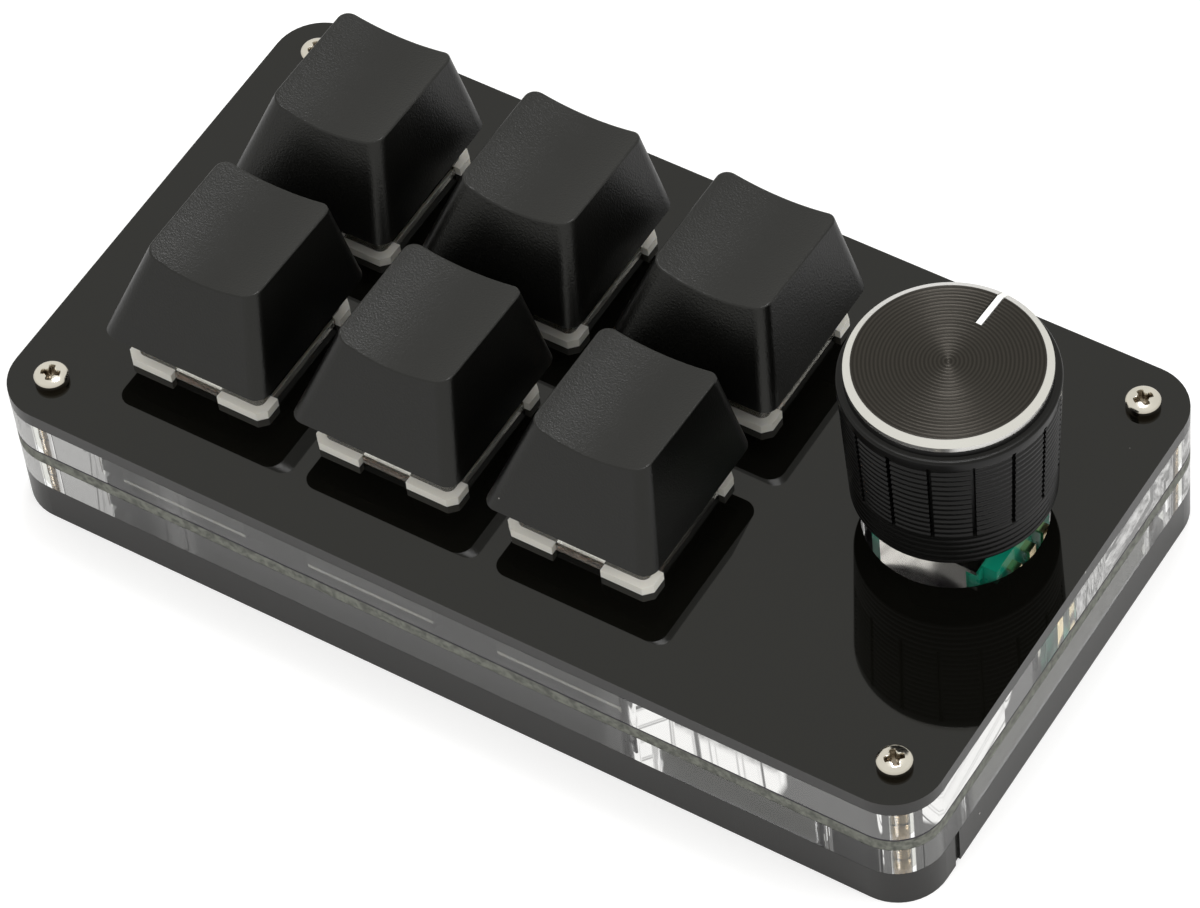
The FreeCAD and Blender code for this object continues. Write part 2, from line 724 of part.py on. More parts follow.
def knob_body():
    """Hollow grip with upright grooves and a hub on the flatted shaft."""
    seat = knob_top_height - knob_cap_thickness
    roof = knob_neck_height - knob_roof
    hub_low = frame_top_z() - plate_face + bushing_height + knob_hub_gap
    inner_low = knob_bottom_radius - knob_wall
    inner_high = knob_outline_radius(roof) - knob_wall
    grip = turned([(0, plate_face + roof), (inner_high, plate_face + roof),
                   (inner_low, plate_face + knob_bottom), (knob_bottom_radius, plate_face + knob_bottom),
                   (knob_shoulder_radius, plate_face + knob_shoulder_height),
                   (knob_neck_radius, plate_face + seat), (0, plate_face + seat)], knob_x, knob_y)
    groove_low = plate_face + knob_bottom + knob_lower_band
    groove_high = plate_face + knob_shoulder_height - knob_upper_band
    grooves = []
    lean = math.degrees(math.atan((knob_shoulder_radius - knob_bottom_radius)
                                  / (knob_shoulder_height - knob_bottom)))
    for number in range(knob_grooves):
        groove = block(knob_bottom_radius - knob_groove_depth, knob_bottom_radius + 2 * knob_groove_depth,
                       -knob_groove_width / 2, knob_groove_width / 2, 0,
                       knob_shoulder_height - knob_bottom)
        groove.rotate(Vector(knob_bottom_radius, 0, 0), Vector(0, 1, 0), lean)
        groove = groove.common(block(0, 2 * knob_shoulder_radius, -knob_groove_width, knob_groove_width,
                                     groove_low - plate_face - knob_bottom,
                                     groove_high - plate_face - knob_bottom))
        groove.translate(Vector(knob_x, knob_y, plate_face + knob_bottom))
        groove.rotate(Vector(knob_x, knob_y, 0), Vector(0, 0, 1), 360 * (number + 0.5) / knob_grooves)
        grooves.append(groove)
    hub = rod(knob_x, knob_y, plate_face + hub_low, plate_face + roof, knob_hub_diameter)
    bore_top = plate_face + shaft_top_above_plate + knob_bore_clearance
    bore = rod(knob_x, knob_y, plate_face + hub_low, bore_top, shaft_diameter + 2 * knob_bore_clearance)
    flat_low = plate_face + shaft_top_above_plate - shaft_flat_length + knob_bore_clearance
    bore = bore.cut(shaft_flat(flat_low, bore_top, knob_bore_clearance))
    return cut_all(grip, grooves).fuse(hub).cut(bore)


def pointer_bar():
    """The bar that the pointer fills, from near the middle of the face to its rim."""
    top = plate_face + knob_top_height
    bar = block(pointer_inner, knob_neck_radius, -pointer_width / 2, pointer_width / 2,
                top - pointer_depth, top)
    bar.rotate(Vector(0, 0, 0), Vector(0, 0, 1), pointer_turn_deg)
    bar.translate(Vector(knob_x, knob_y, 0))
    return bar


def knob_disc():
    """Turned cap with its sloping bright rim."""
    seat = plate_face + knob_top_height - knob_cap_thickness
    return turned([(0, seat), (knob_neck_radius, seat), (knob_neck_radius, plate_face + knob_neck_height),
                   (knob_face_radius, plate_face + knob_top_height),
                   (0, plate_face + knob_top_height)], knob_x, knob_y)


os.makedirs("parts", exist_ok=True)
save("base_plate", base_plate())
save("lower_spacer", lower_spacer())
save("circuit_board", circuit_board())
save("upper_spacer", upper_spacer())
save("top_plate", top_plate())
save("case_screws", [case_screw(x, y) for x, y in screw_places])
save("corner_nuts", [corner_nut(x, y) for x, y in screw_places])
save("usb_shell", usb_shell())
save("usb_tongue", usb_tongue())
save("controller_chip", controller_chip())
for number, (x, y) in enumerate(key_places, 1):
    save("switch_%d_housing" % number, switch_housing(x, y))
    save("switch_%d_cover" % number, switch_cover(x, y))
    save("switch_%d_contacts" % number, switch_contacts(x, y))
    save("switch_%d_spring" % number, switch_spring(x, y))
    save("key_%d_stem" % number, key_stem(x, y))
    save("key_%d_cap" % number, key_cap(x, y))
save("encoder_base", encoder_base())
save("encoder_frame", encoder_frame())
save("encoder_bushing", encoder_bushing())
save("encoder_terminals", encoder_terminals())
save("encoder_dome", encoder_dome())
save("encoder_plunger", encoder_plunger())
save("encoder_shaft", encoder_shaft())
save("knob_body", knob_body())
save("knob_cap", knob_disc().cut(pointer_bar()))
save("knob_pointer", knob_disc().common(pointer_bar()))
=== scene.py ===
"""Looks of a desk macro keypad: six keys and one knob on a case of stacked sheets."""
import math

import bmesh
import bpy
from bpy.props import FloatProperty, FloatVectorProperty, IntProperty, PointerProperty
from mathutils import Matrix, Vector


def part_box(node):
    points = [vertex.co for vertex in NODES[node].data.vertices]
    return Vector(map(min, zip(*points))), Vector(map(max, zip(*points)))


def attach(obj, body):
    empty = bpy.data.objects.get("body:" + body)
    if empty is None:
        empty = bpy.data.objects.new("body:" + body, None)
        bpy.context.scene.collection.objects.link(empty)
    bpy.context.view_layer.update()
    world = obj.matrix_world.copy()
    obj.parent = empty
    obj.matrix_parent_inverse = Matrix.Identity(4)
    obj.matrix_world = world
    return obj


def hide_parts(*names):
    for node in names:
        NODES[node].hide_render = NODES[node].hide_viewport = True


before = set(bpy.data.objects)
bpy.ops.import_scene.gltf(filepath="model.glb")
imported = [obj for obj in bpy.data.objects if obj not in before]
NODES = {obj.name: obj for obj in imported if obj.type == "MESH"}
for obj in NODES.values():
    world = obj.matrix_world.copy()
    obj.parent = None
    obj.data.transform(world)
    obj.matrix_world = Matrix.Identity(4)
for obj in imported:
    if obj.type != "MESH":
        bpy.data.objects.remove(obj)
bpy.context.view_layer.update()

bl_info = {
    "name": "Macro keypad finishes",
    "version": (1, 0, 0),
    "blender": (4, 5, 0),
    "location": "View3D > Sidebar > Keypad",
    "description": "Dresses the keypad's solids with materials, threads and rings",
    "category": "Object",
}

MM = 0.001

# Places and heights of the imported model, in metres
PLATE_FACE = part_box("top_plate")[1].z
KNOB_LOW, KNOB_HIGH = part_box("knob_body")
KNOB_CENTRE = (KNOB_LOW + KNOB_HIGH) / 2
SCREW_LOW, SCREW_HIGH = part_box("case_screws")
BOARD_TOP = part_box("circuit_board")[1].z

# Colours of small and hidden pieces, of what lies on them, and of painted shade and painted light
STEEL = (0.62, 0.61, 0.59)
BRIGHT_SHEET = (0.80, 0.78, 0.74)
TURNED_METAL = (0.66, 0.66, 0.65)
SLIDER_PLASTIC = (0.26, 0.235, 0.215)
BLACK_MOULDING = (0.012, 0.012, 0.012)
WHITE_ROD = (0.7, 0.7, 0.68)
POINTER_ENAMEL = (0.88, 0.88, 0.86)
# Painted shade in the screws' cross recess and down the sides of their heads
SCREW_SHADE = (0.17, 0.13, 0.085)
DUST_ON_SHEET = (0.35, 0.34, 0.32)
DUST_ON_PLASTIC = (0.30, 0.29, 0.27)
# Painted light that glows from the clear sheets after many bounces inside them
PAINTED_SHEET_LIGHT = (0.95, 0.94, 0.92, 1.0)


# Settings

class SheetSettings(bpy.types.PropertyGroup):
    """The stacked sheets and the board"""
    black: FloatVectorProperty(
        name="Black sheet", description="Colour of the top and base sheets", subtype="COLOR",
        size=3, min=0, max=1, default=(0.0030, 0.0029, 0.0022))
    black_edge: FloatVectorProperty(
        name="Sawn black edge", description="Colour of the laser-cut edge of the black sheets",
        subtype="COLOR", size=3, min=0, max=1, default=(0.010, 0.0095, 0.0085))
    clear: FloatVectorProperty(
        name="Clear sheet", description="Tint of the clear sheets", subtype="COLOR",
        size=3, min=0, max=1, default=(0.97, 0.98, 0.975))
    air_gap: FloatProperty(
        name="Air gap", description="Air between a clear sheet and its neighbours",
        unit="LENGTH", min=0, default=0.03 * MM)
    mask: FloatVectorProperty(
        name="Solder mask", description="Colour of the board's faces", subtype="COLOR",
        size=3, min=0, max=1, default=(0.012, 0.009, 0.016))
    fibre: FloatVectorProperty(
        name="Board edge", description="Colour of the board's cut glass fibre", subtype="COLOR",
        size=3, min=0, max=1, default=(0.115, 0.12, 0.10))


class ScrewSettings(bpy.types.PropertyGroup):
    """The corner screws"""
    head_width: FloatProperty(name="Head", description="Diameter of the head", unit="LENGTH",
                              default=3.3 * MM)
    head_height: FloatProperty(name="Head height", description="Height of the domed head",
                               unit="LENGTH", default=1.2 * MM)
    thread_width: FloatProperty(name="Thread", description="Outer diameter of the thread",
                                unit="LENGTH", default=2.0 * MM)
    thread_pitch: FloatProperty(name="Pitch", description="Rise of one turn of the thread",
                                unit="LENGTH", default=0.4 * MM)
    recess_span: FloatProperty(name="Recess", description="Span of the cross recess",
                               unit="LENGTH", default=1.9 * MM)
    nickel: FloatVectorProperty(
        name="Nickel", description="Colour of the screws' plating", subtype="COLOR",
        size=3, min=0, max=1, default=(0.80, 0.76, 0.69))


class KeySettings(bpy.types.PropertyGroup):
    """The keys and their switches"""
    cap: FloatVectorProperty(
        name="Keycap", description="Colour of the keycaps", subtype="COLOR",
        size=3, min=0, max=1, default=(0.0012, 0.0012, 0.0010))
    cap_roughness: FloatProperty(name="Keycap roughness", description="Roughness of the keycaps",
                                 subtype="FACTOR", min=0, max=1, default=0.30)
    grain: FloatProperty(name="Grain", description="Size of the moulded grain on the keycaps",
                         unit="LENGTH", default=0.20 * MM)
    housing: FloatVectorProperty(
        name="Housing", description="Colour of the lower switch housings", subtype="COLOR",
        size=3, min=0, max=1, default=(0.82, 0.80, 0.73))
    cover: FloatVectorProperty(
        name="Cover", description="Tint of the clear switch covers", subtype="COLOR",
        size=3, min=0, max=1, default=(0.80, 0.79, 0.76))
    copper: FloatVectorProperty(
        name="Contacts", description="Colour of the contact leaves", subtype="COLOR",
        size=3, min=0, max=1, default=(0.78, 0.42, 0.27))


class KnobSettings(bpy.types.PropertyGroup):
    """The knob and the encoder under it"""
    ridges: IntProperty(name="Ridges", description="Rings cut across the grip's panels",
                        min=2, default=14)
    ridge_depth: FloatProperty(name="Ridge depth", description="Depth of a ring", unit="LENGTH",
                               default=0.13 * MM)
    fine_rings: IntProperty(name="Fine rings", description="Rings on the band below the panels",
                            min=1, default=5)
    grooves: IntProperty(name="Grooves", description="Upright grooves round the grip",
                         min=3, default=16)
    groove_width: FloatProperty(name="Groove width", description="Width of an upright groove",
                                unit="LENGTH", default=0.4 * MM)
    groove_depth: FloatProperty(name="Groove depth", description="Depth of an upright groove",
                                unit="LENGTH", default=0.6 * MM)
    groove_turn: FloatProperty(name="Groove turn", subtype="ANGLE", unit="ROTATION",
                               description="Angle of the first groove from the right",
                               default=math.radians(-3.45))
    grip: FloatVectorProperty(
        name="Grip", description="Colour of the grip", subtype="COLOR",
        size=3, min=0, max=1, default=(0.0022, 0.0021, 0.0020))
    face: FloatVectorProperty(
        name="Face", description="Colour of the turned face", subtype="COLOR",
        size=3, min=0, max=1, default=(0.050, 0.046, 0.041))
    rim: FloatVectorProperty(
        name="Rim", description="Colour of the bright cut rim", subtype="COLOR",
        size=3, min=0, max=1, default=(0.82, 0.81, 0.79))
    ring_pitch: FloatProperty(name="Turning marks", description="Distance between turning marks",
                              unit="LENGTH", default=0.37 * MM)
    resin: FloatVectorProperty(
        name="Encoder body", description="Colour of the encoder's resin", subtype="COLOR",
        size=3, min=0, max=1, default=(0.004, 0.20, 0.125))
    encoder_rise: FloatProperty(name="Encoder rise", unit="LENGTH", default=1.6 * MM,
                                description="Extra height of the encoder's body, cage and pins")
    pointer_width: FloatProperty(name="Pointer width", subtype="FACTOR", min=0.1, max=1,
                                 description="Width of the pointer, as a share of its solid's",
                                 default=0.7)
    gold: FloatVectorProperty(
        name="Terminals", description="Colour of the encoder's terminals", subtype="COLOR",
        size=3, min=0, max=1, default=(0.86, 0.70, 0.42))


class StageSettings(bpy.types.PropertyGroup):
    """Floor, light and camera"""
    floor: FloatVectorProperty(
        name="Floor", description="Colour of the floor", subtype="COLOR",
        size=3, min=0, max=1, default=(0.72, 0.72, 0.72))
    floor_width: FloatProperty(name="Floor width", description="Side of the square floor",
                               unit="LENGTH", default=6.0)
    floor_glow: FloatProperty(name="Floor glow", description="Added light that whitens the floor",
                              min=0, default=0.42)
    room_light: FloatProperty(name="Room light", description="Strength of the even white room",
                              min=0, default=0.75)
    room_seen: FloatProperty(name="Room seen", min=0, default=0.82,
                             description="Brightness of the room where it is seen or mirrored")
    azimuth: FloatProperty(name="Azimuth", description="Camera's turn from the front to the right",
                           subtype="ANGLE", unit="ROTATION", default=math.radians(37.2956))
    elevation: FloatProperty(name="Elevation", description="Camera's height angle",
                             subtype="ANGLE", unit="ROTATION", default=math.radians(52.133))
    roll: FloatProperty(name="Roll", description="Camera's roll", subtype="ANGLE",
                        unit="ROTATION", default=math.radians(-7.0773))
    distance: FloatProperty(name="Distance", description="Camera to the point it looks at",
                            unit="LENGTH", default=0.549412)
    aim: FloatVectorProperty(name="Aim", description="Point the camera looks at",
                             subtype="TRANSLATION", unit="LENGTH", size=3,
                             default=(0.002807, -0.003630, 0.011978))
    lens: FloatProperty(name="Lens", description="Focal length in millimetres on a 36 mm sensor",
                        min=1, default=177.927)


# Shader nodes

def put(tree, kind, **settings):
    """A new node with its plain properties set."""
    made = tree.nodes.new(kind)
    for name, value in settings.items():
        setattr(made, name, value)
    return made


def feed(tree, node, **values):
    """Sets or links a node's inputs by name; underscores stand for spaces."""
    for name, value in values.items():
        socket = node.inputs[name.replace("_", " ")]
        if isinstance(value, bpy.types.NodeSocket):
            tree.links.new(value, socket)
        else:
            socket.default_value = value
    return node


def maths(tree, operation, *values):
    """A Math node's output."""
    made = put(tree, "ShaderNodeMath", operation=operation)
    for socket, value in zip(made.inputs, values):
        if isinstance(value, bpy.types.NodeSocket):
            tree.links.new(value, socket)
        else:
            socket.default_value = value
    return made.outputs[0]


def ramp(tree, factor, low, high, start=0.0, end=1.0):
    """A value mapped from one range to another, held at both ends."""
    made = put(tree, "ShaderNodeMapRange", clamp=True)
    feed(tree, made, Value=factor, From_Min=low, From_Max=high, To_Min=start, To_Max=end)
    return made.outputs["Result"]


def blend_colours(tree, factor, first, second):
    """A mix of two colours."""
    made = put(tree, "ShaderNodeMix", data_type="RGBA")
    tree.links.new(factor, made.inputs[0])
    for socket, value in ((made.inputs[6], first), (made.inputs[7], second)):
        if isinstance(value, bpy.types.NodeSocket):
            tree.links.new(value, socket)
        else:
            socket.default_value = (*value, 1.0)
    return made.outputs[2]


def shade(colour, amount):
    """A colour made lighter or darker."""
    return tuple(min(1.0, part * amount) for part in colour)


def new_group(name, inputs, outputs):
    """An empty shader group with named sockets."""
    group = bpy.data.node_groups.new(name, "ShaderNodeTree")
    for label, kind, value in inputs:
        socket = group.interface.new_socket(name=label, in_out="INPUT", socket_type=kind)
        socket.default_value = value
    for label, kind in outputs:
        group.interface.new_socket(name=label, in_out="OUTPUT", socket_type=kind)
    source = put(group, "NodeGroupInput")
    result = put(group, "NodeGroupOutput")
    return group, source, result


def moulded_grain():
    """Fine grain of a moulded surface, with broad uneven patches."""
    group, source, result = new_group(
        "Moulded grain",
        [("Grain", "NodeSocketFloat", 6000.0), ("Patch", "NodeSocketFloat", 120.0)],
        [("Height", "NodeSocketFloat"), ("Patches", "NodeSocketFloat")])
    place = put(group, "ShaderNodeTexCoord").outputs["Object"]
    fine = put(group, "ShaderNodeTexNoise")
    feed(group, fine, Vector=place, Scale=source.outputs["Grain"], Detail=2.0, Roughness=0.6)
    broad = put(group, "ShaderNodeTexNoise")
    feed(group, broad, Vector=place, Scale=source.outputs["Patch"], Detail=3.0)
    feed(group, result, Height=fine.outputs["Fac"], Patches=broad.outputs["Fac"])
    return group


def cut_edge():
    """Finds the upright faces of a sheet and the fine upright marks a laser leaves there."""
    group, source, result = new_group(
        "Cut edge", [("Marks", "NodeSocketFloat", 2600.0),
                     ("Stretch", "NodeSocketVector", (1.0, 1.0, 0.06))],
        [("Edge", "NodeSocketFloat"), ("Height", "NodeSocketFloat")])
    coordinates = put(group, "ShaderNodeTexCoord")
    split = put(group, "ShaderNodeSeparateXYZ")
    group.links.new(coordinates.outputs["Normal"], split.inputs[0])
    upright = maths(group, "LESS_THAN", maths(group, "ABSOLUTE", split.outputs["Z"]), 0.5)
    stretched = put(group, "ShaderNodeVectorMath", operation="MULTIPLY")
    group.links.new(coordinates.outputs["Object"], stretched.inputs[0])
    group.links.new(source.outputs["Stretch"], stretched.inputs[1])
    marks = put(group, "ShaderNodeTexNoise")
    feed(group, marks, Vector=stretched.outputs[0], Scale=source.outputs["Marks"], Detail=2.0)
    feed(group, result, Edge=upright, Height=maths(group, "MULTIPLY", marks.outputs["Fac"], upright))
    return group


def dust():
    """A few small pale specks."""
    group, source, result = new_group(
        "Dust", [("Spread", "NodeSocketFloat", 420.0), ("Amount", "NodeSocketFloat", 0.06)],
        [("Specks", "NodeSocketFloat")])
    place = put(group, "ShaderNodeTexCoord").outputs["Object"]
    cells = put(group, "ShaderNodeTexVoronoi", feature="F1")
    feed(group, cells, Vector=place, Scale=source.outputs["Spread"])
    lot = put(group, "ShaderNodeSeparateColor")
    group.links.new(cells.outputs["Color"], lot.inputs[0])
    chosen = maths(group, "LESS_THAN", lot.outputs[0], source.outputs["Amount"])
    near = ramp(group, cells.outputs["Distance"], 0.02, 0.05, 1.0, 0.0)
    feed(group, result, Specks=maths(group, "MULTIPLY", chosen, near))
    return group


def metal_streaks():
    """Fine drawn scratches along a metal part, with duller patches."""
    group, source, result = new_group(
        "Metal streaks",
        [("Along", "NodeSocketVector", (60.0, 2500.0, 2500.0))],
        [("Streaks", "NodeSocketFloat"), ("Dull", "NodeSocketFloat")])
    place = put(group, "ShaderNodeTexCoord").outputs["Object"]
    stretch = put(group, "ShaderNodeVectorMath", operation="MULTIPLY")
    group.links.new(place, stretch.inputs[0])
    group.links.new(source.outputs["Along"], stretch.inputs[1])
    lines = put(group, "ShaderNodeTexNoise")
    feed(group, lines, Vector=stretch.outputs[0], Scale=1.0, Detail=2.0)
    patches = put(group, "ShaderNodeTexNoise")
    feed(group, patches, Vector=place, Scale=500.0, Detail=3.0)
    feed(group, result, Streaks=lines.outputs["Fac"], Dull=patches.outputs["Fac"])
    return group


GROUPS = {}


def effect(tree, name, **values):
    """Places a shared group in a material with its own values."""
    if name not in GROUPS:
        GROUPS[name] = {"grain": moulded_grain, "edge": cut_edge, "dust": dust,
                        "streaks": metal_streaks}[name]()
    made = put(tree, "ShaderNodeGroup", node_tree=GROUPS[name])
    return feed(tree, made, **values)


def bump(tree, height, strength, distance):
    """A Bump node's normal."""
    made = put(tree, "ShaderNodeBump")
    feed(tree, made, Height=height, Strength=strength, Distance=distance)
    return made.outputs["Normal"]


def new_finish(name, colour, roughness, **settings):
    """A material with one Principled shader; settings go straight on its sockets."""
    material = bpy.data.materials.new(name)
    material.use_nodes = True
    tree = material.node_tree
    shader = tree.nodes["Principled BSDF"]
    feed(tree, shader, Base_Color=(*colour, 1.0), Roughness=roughness, **settings)
    return material, tree, shader


def dress(material, *names):
    """Gives CAD nodes a material."""
    for name in names:
        for slot in NODES[name].material_slots:
            slot.material = material


def numbered(pattern):
    """The same node of all six switches or keys."""
    return [pattern % number for number in range(1, 7)]


# Finishes

def black_sheet_finish(sheets):
    """Polished black sheet with a duller sawn edge and a little dust."""
    material, tree, shader = new_finish("black sheet", sheets.black, 0.03, IOR=1.49)
    edge = effect(tree, "edge", Marks=2400.0)
    specks = effect(tree, "dust", Spread=300.0, Amount=0.05).outputs["Specks"]
    sawn = blend_colours(tree, edge.outputs["Edge"], sheets.black, sheets.black_edge)
    feed(tree, shader,
         Base_Color=blend_colours(tree, specks, sawn, DUST_ON_SHEET),
         Roughness=ramp(tree, edge.outputs["Edge"], 0.0, 1.0, 0.035, 0.26),
         Normal=bump(tree, edge.outputs["Height"], 0.35, 0.02 * MM))
    return material


def clear_sheet_finish(sheets):
    """Clear cast sheet. Light that has bounced along inside it for long is painted: the sheet glows
    with painted light in upright bars, with painted shade where it would meet the round opening
    under the knob, at the far left, in the middle window and in clouds along the sides."""
    front = (1.0 * MM, -1.0 * MM)
    past_opening = (29.6 * MM, 30.4 * MM)
    left_end = (-36.0 * MM, -39.0 * MM)
    window_left, window_right = (-34.0 * MM, -33.0 * MM), (13.0 * MM, 12.0 * MM)
    bar_dim, knob_dim, left_dim, window_dim = 0.84, 0.86, 0.60, 0.45
    bar_slant = 0.31
    many_bounces = 3.5
    material, tree, shader = new_finish(
        "clear sheet", sheets.clear, 0.0, IOR=1.49, Transmission_Weight=1.0)
    edge = effect(tree, "edge", Marks=3000.0, Stretch=(0.02, 0.02, 1.0))
    feed(tree, shader, Normal=bump(tree, edge.outputs["Height"], 0.015, 0.02 * MM))
    place = put(tree, "ShaderNodeTexCoord").outputs["Object"]
    split = put(tree, "ShaderNodeSeparateXYZ")
    tree.links.new(place, split.inputs[0])
    x, y = split.outputs["X"], split.outputs["Y"]
    # Painted shade: dark upright bars, and darker zones near the knob's opening, at the far left, in
    # the middle window and in clouds along the sides
    bars = put(tree, "ShaderNodeTexNoise", noise_dimensions="1D")
    feed(tree, bars, W=maths(tree, "ADD", x, maths(tree, "MULTIPLY", y, bar_slant)),
         Scale=420.0, Detail=3.0, Roughness=0.7)
    dark_bars = ramp(tree, bars.outputs["Fac"], 0.36, 0.47, bar_dim, 0.0)
    in_front = ramp(tree, y, *front)
    near_knob = maths(tree, "MULTIPLY", ramp(tree, x, *past_opening), in_front)
    far_left = ramp(tree, x, *left_end)
    open_middle = maths(tree, "MULTIPLY", ramp(tree, x, *window_left),
                        ramp(tree, x, *window_right))
    clouds = put(tree, "ShaderNodeTexNoise")
    feed(tree, clouds, Vector=place, Scale=520.0, Detail=4.0, Roughness=0.7)
    behind = ramp(tree, clouds.outputs["Fac"], 0.38, 0.62, 0.84, 0.30)
    side_dim = maths(tree, "MULTIPLY", behind, maths(tree, "SUBTRACT", 1.0, in_front))
    dim = maths(tree, "MAXIMUM", maths(tree, "MULTIPLY", near_knob, knob_dim),
                maths(tree, "MULTIPLY", far_left, left_dim))
    dim = maths(tree, "MAXIMUM", maths(tree, "MAXIMUM", dim, side_dim),
                maths(tree, "MULTIPLY", open_middle, window_dim))
    striped = maths(tree, "MULTIPLY", dark_bars, maths(tree, "SUBTRACT", 1.0, open_middle))
    brightness = maths(tree, "SUBTRACT", 1.0, maths(tree, "MAXIMUM", dim, striped))
    # Painted light: after many glossy bounces the sheet glows with this painted brightness
    path = put(tree, "ShaderNodeLightPath")
    long_way = maths(tree, "GREATER_THAN", path.outputs["Glossy Depth"], many_bounces)
    glow = feed(tree, put(tree, "ShaderNodeEmission"), Color=PAINTED_SHEET_LIGHT,
                Strength=brightness)
    mix = put(tree, "ShaderNodeMixShader")
    tree.links.new(long_way, mix.inputs[0])
    tree.links.new(shader.outputs[0], mix.inputs[1])
    tree.links.new(glow.outputs[0], mix.inputs[2])
    tree.links.new(mix.outputs[0], tree.nodes["Material Output"].inputs["Surface"])
    material.cycles.emission_sampling = "NONE"
    return material


def board_finish(sheets):
    """Dark solder mask with a pale cut edge of glass fibre and resin."""
    material, tree, shader = new_finish("circuit board", sheets.mask, 0.22, IOR=1.5)
    edge = effect(tree, "edge", Marks=5200.0)
    grain = effect(tree, "grain", Grain=1700.0, Patch=260.0)
    mottled = blend_colours(tree, ramp(tree, grain.outputs["Height"], 0.35, 0.65),
                            shade(sheets.fibre, 0.5), shade(sheets.fibre, 1.35))
    split = put(tree, "ShaderNodeSeparateXYZ")
    tree.links.new(put(tree, "ShaderNodeTexCoord").outputs["Object"], split.inputs[0])
    mask_layer = (BOARD_TOP - 0.25 * MM, BOARD_TOP - 0.15 * MM)
    in_mask = ramp(tree, split.outputs["Z"], *mask_layer)
    fibre = blend_colours(tree, in_mask, mottled, sheets.mask)
    feed(tree, shader,
         Base_Color=blend_colours(tree, edge.outputs["Edge"], sheets.mask, fibre),
         Roughness=ramp(tree, edge.outputs["Edge"], 0.0, 1.0, 0.22, 0.6),
         Normal=bump(tree, edge.outputs["Height"], 0.5, 0.03 * MM))
    return material


def metal_finish(name, colour, roughness, along=(60.0, 2500.0, 2500.0), depth=0.2):
    """Bare or plated metal with fine streaks and duller patches."""
    material, tree, shader = new_finish(name, colour, roughness, Metallic=1.0)
    marks = effect(tree, "streaks", Along=along)
    tint = blend_colours(tree, marks.outputs["Dull"], shade(colour, 0.86), shade(colour, 1.06))
    feed(tree, shader,
         Base_Color=tint,
         Roughness=ramp(tree, marks.outputs["Dull"], 0.3, 0.7, roughness * 0.75, roughness * 1.35),
         Normal=bump(tree, marks.outputs["Streaks"], depth, 0.01 * MM))
    return material


def screw_finish(screws):
    """Nickel plate with painted shade down the head and in the recess."""
    material = metal_finish("nickel plate", screws.nickel, 0.14, depth=0.1)
    tree = material.node_tree
    shader = tree.nodes["Principled BSDF"]
    split = put(tree, "ShaderNodeSeparateXYZ")
    tree.links.new(put(tree, "ShaderNodeTexCoord").outputs["Object"], split.inputs[0])
    # Painted shade: the nickel darkens to brown towards the plate face and in the cross recess
    top = PLATE_FACE + screws.head_height
    shaded_to, lit_from = top - 0.85 * MM, top - 0.25 * MM
    height = ramp(tree, split.outputs["Z"], shaded_to, lit_from)
    plated = shader.inputs["Base Color"].links[0].from_socket
    feed(tree, shader, Base_Color=blend_colours(tree, height, SCREW_SHADE, plated))
    return material


def moulded_finish(name, colour, roughness, grain=5000.0, depth=0.25, relief=0.02, vary=0.12,
                   dusty=0.0, **settings):
    """Moulded plastic with fine grain and slightly uneven gloss."""
    material, tree, shader = new_finish(name, colour, roughness, **settings)
    skin = effect(tree, "grain", Grain=grain, Patch=140.0)
    tint = blend_colours(tree, skin.outputs["Patches"],
                         shade(colour, 1 - vary), shade(colour, 1 + vary))
    if dusty:
        specks = effect(tree, "dust", Spread=520.0, Amount=dusty).outputs["Specks"]
        tint = blend_colours(tree, specks, tint, DUST_ON_PLASTIC)
    gloss = ramp(tree, skin.outputs["Patches"], 0.3, 0.7, roughness * 0.92, roughness * 1.08)
    feed(tree, shader,
         Base_Color=tint,
         Roughness=gloss,
         Normal=bump(tree, skin.outputs["Height"], depth, relief * MM))
    return material


def cover_finish(keys):
    """Smoky clear moulding with faint flow marks."""
    material, tree, shader = new_finish(
        "clear cover", keys.cover, 0.08, IOR=1.58, Transmission_Weight=1.0)
    skin = effect(tree, "grain", Grain=900.0, Patch=240.0)
    feed(tree, shader,
         Roughness=ramp(tree, skin.outputs["Patches"], 0.3, 0.7, 0.05, 0.14),
         Normal=bump(tree, skin.outputs["Height"], 0.05, 0.02 * MM))
    return material


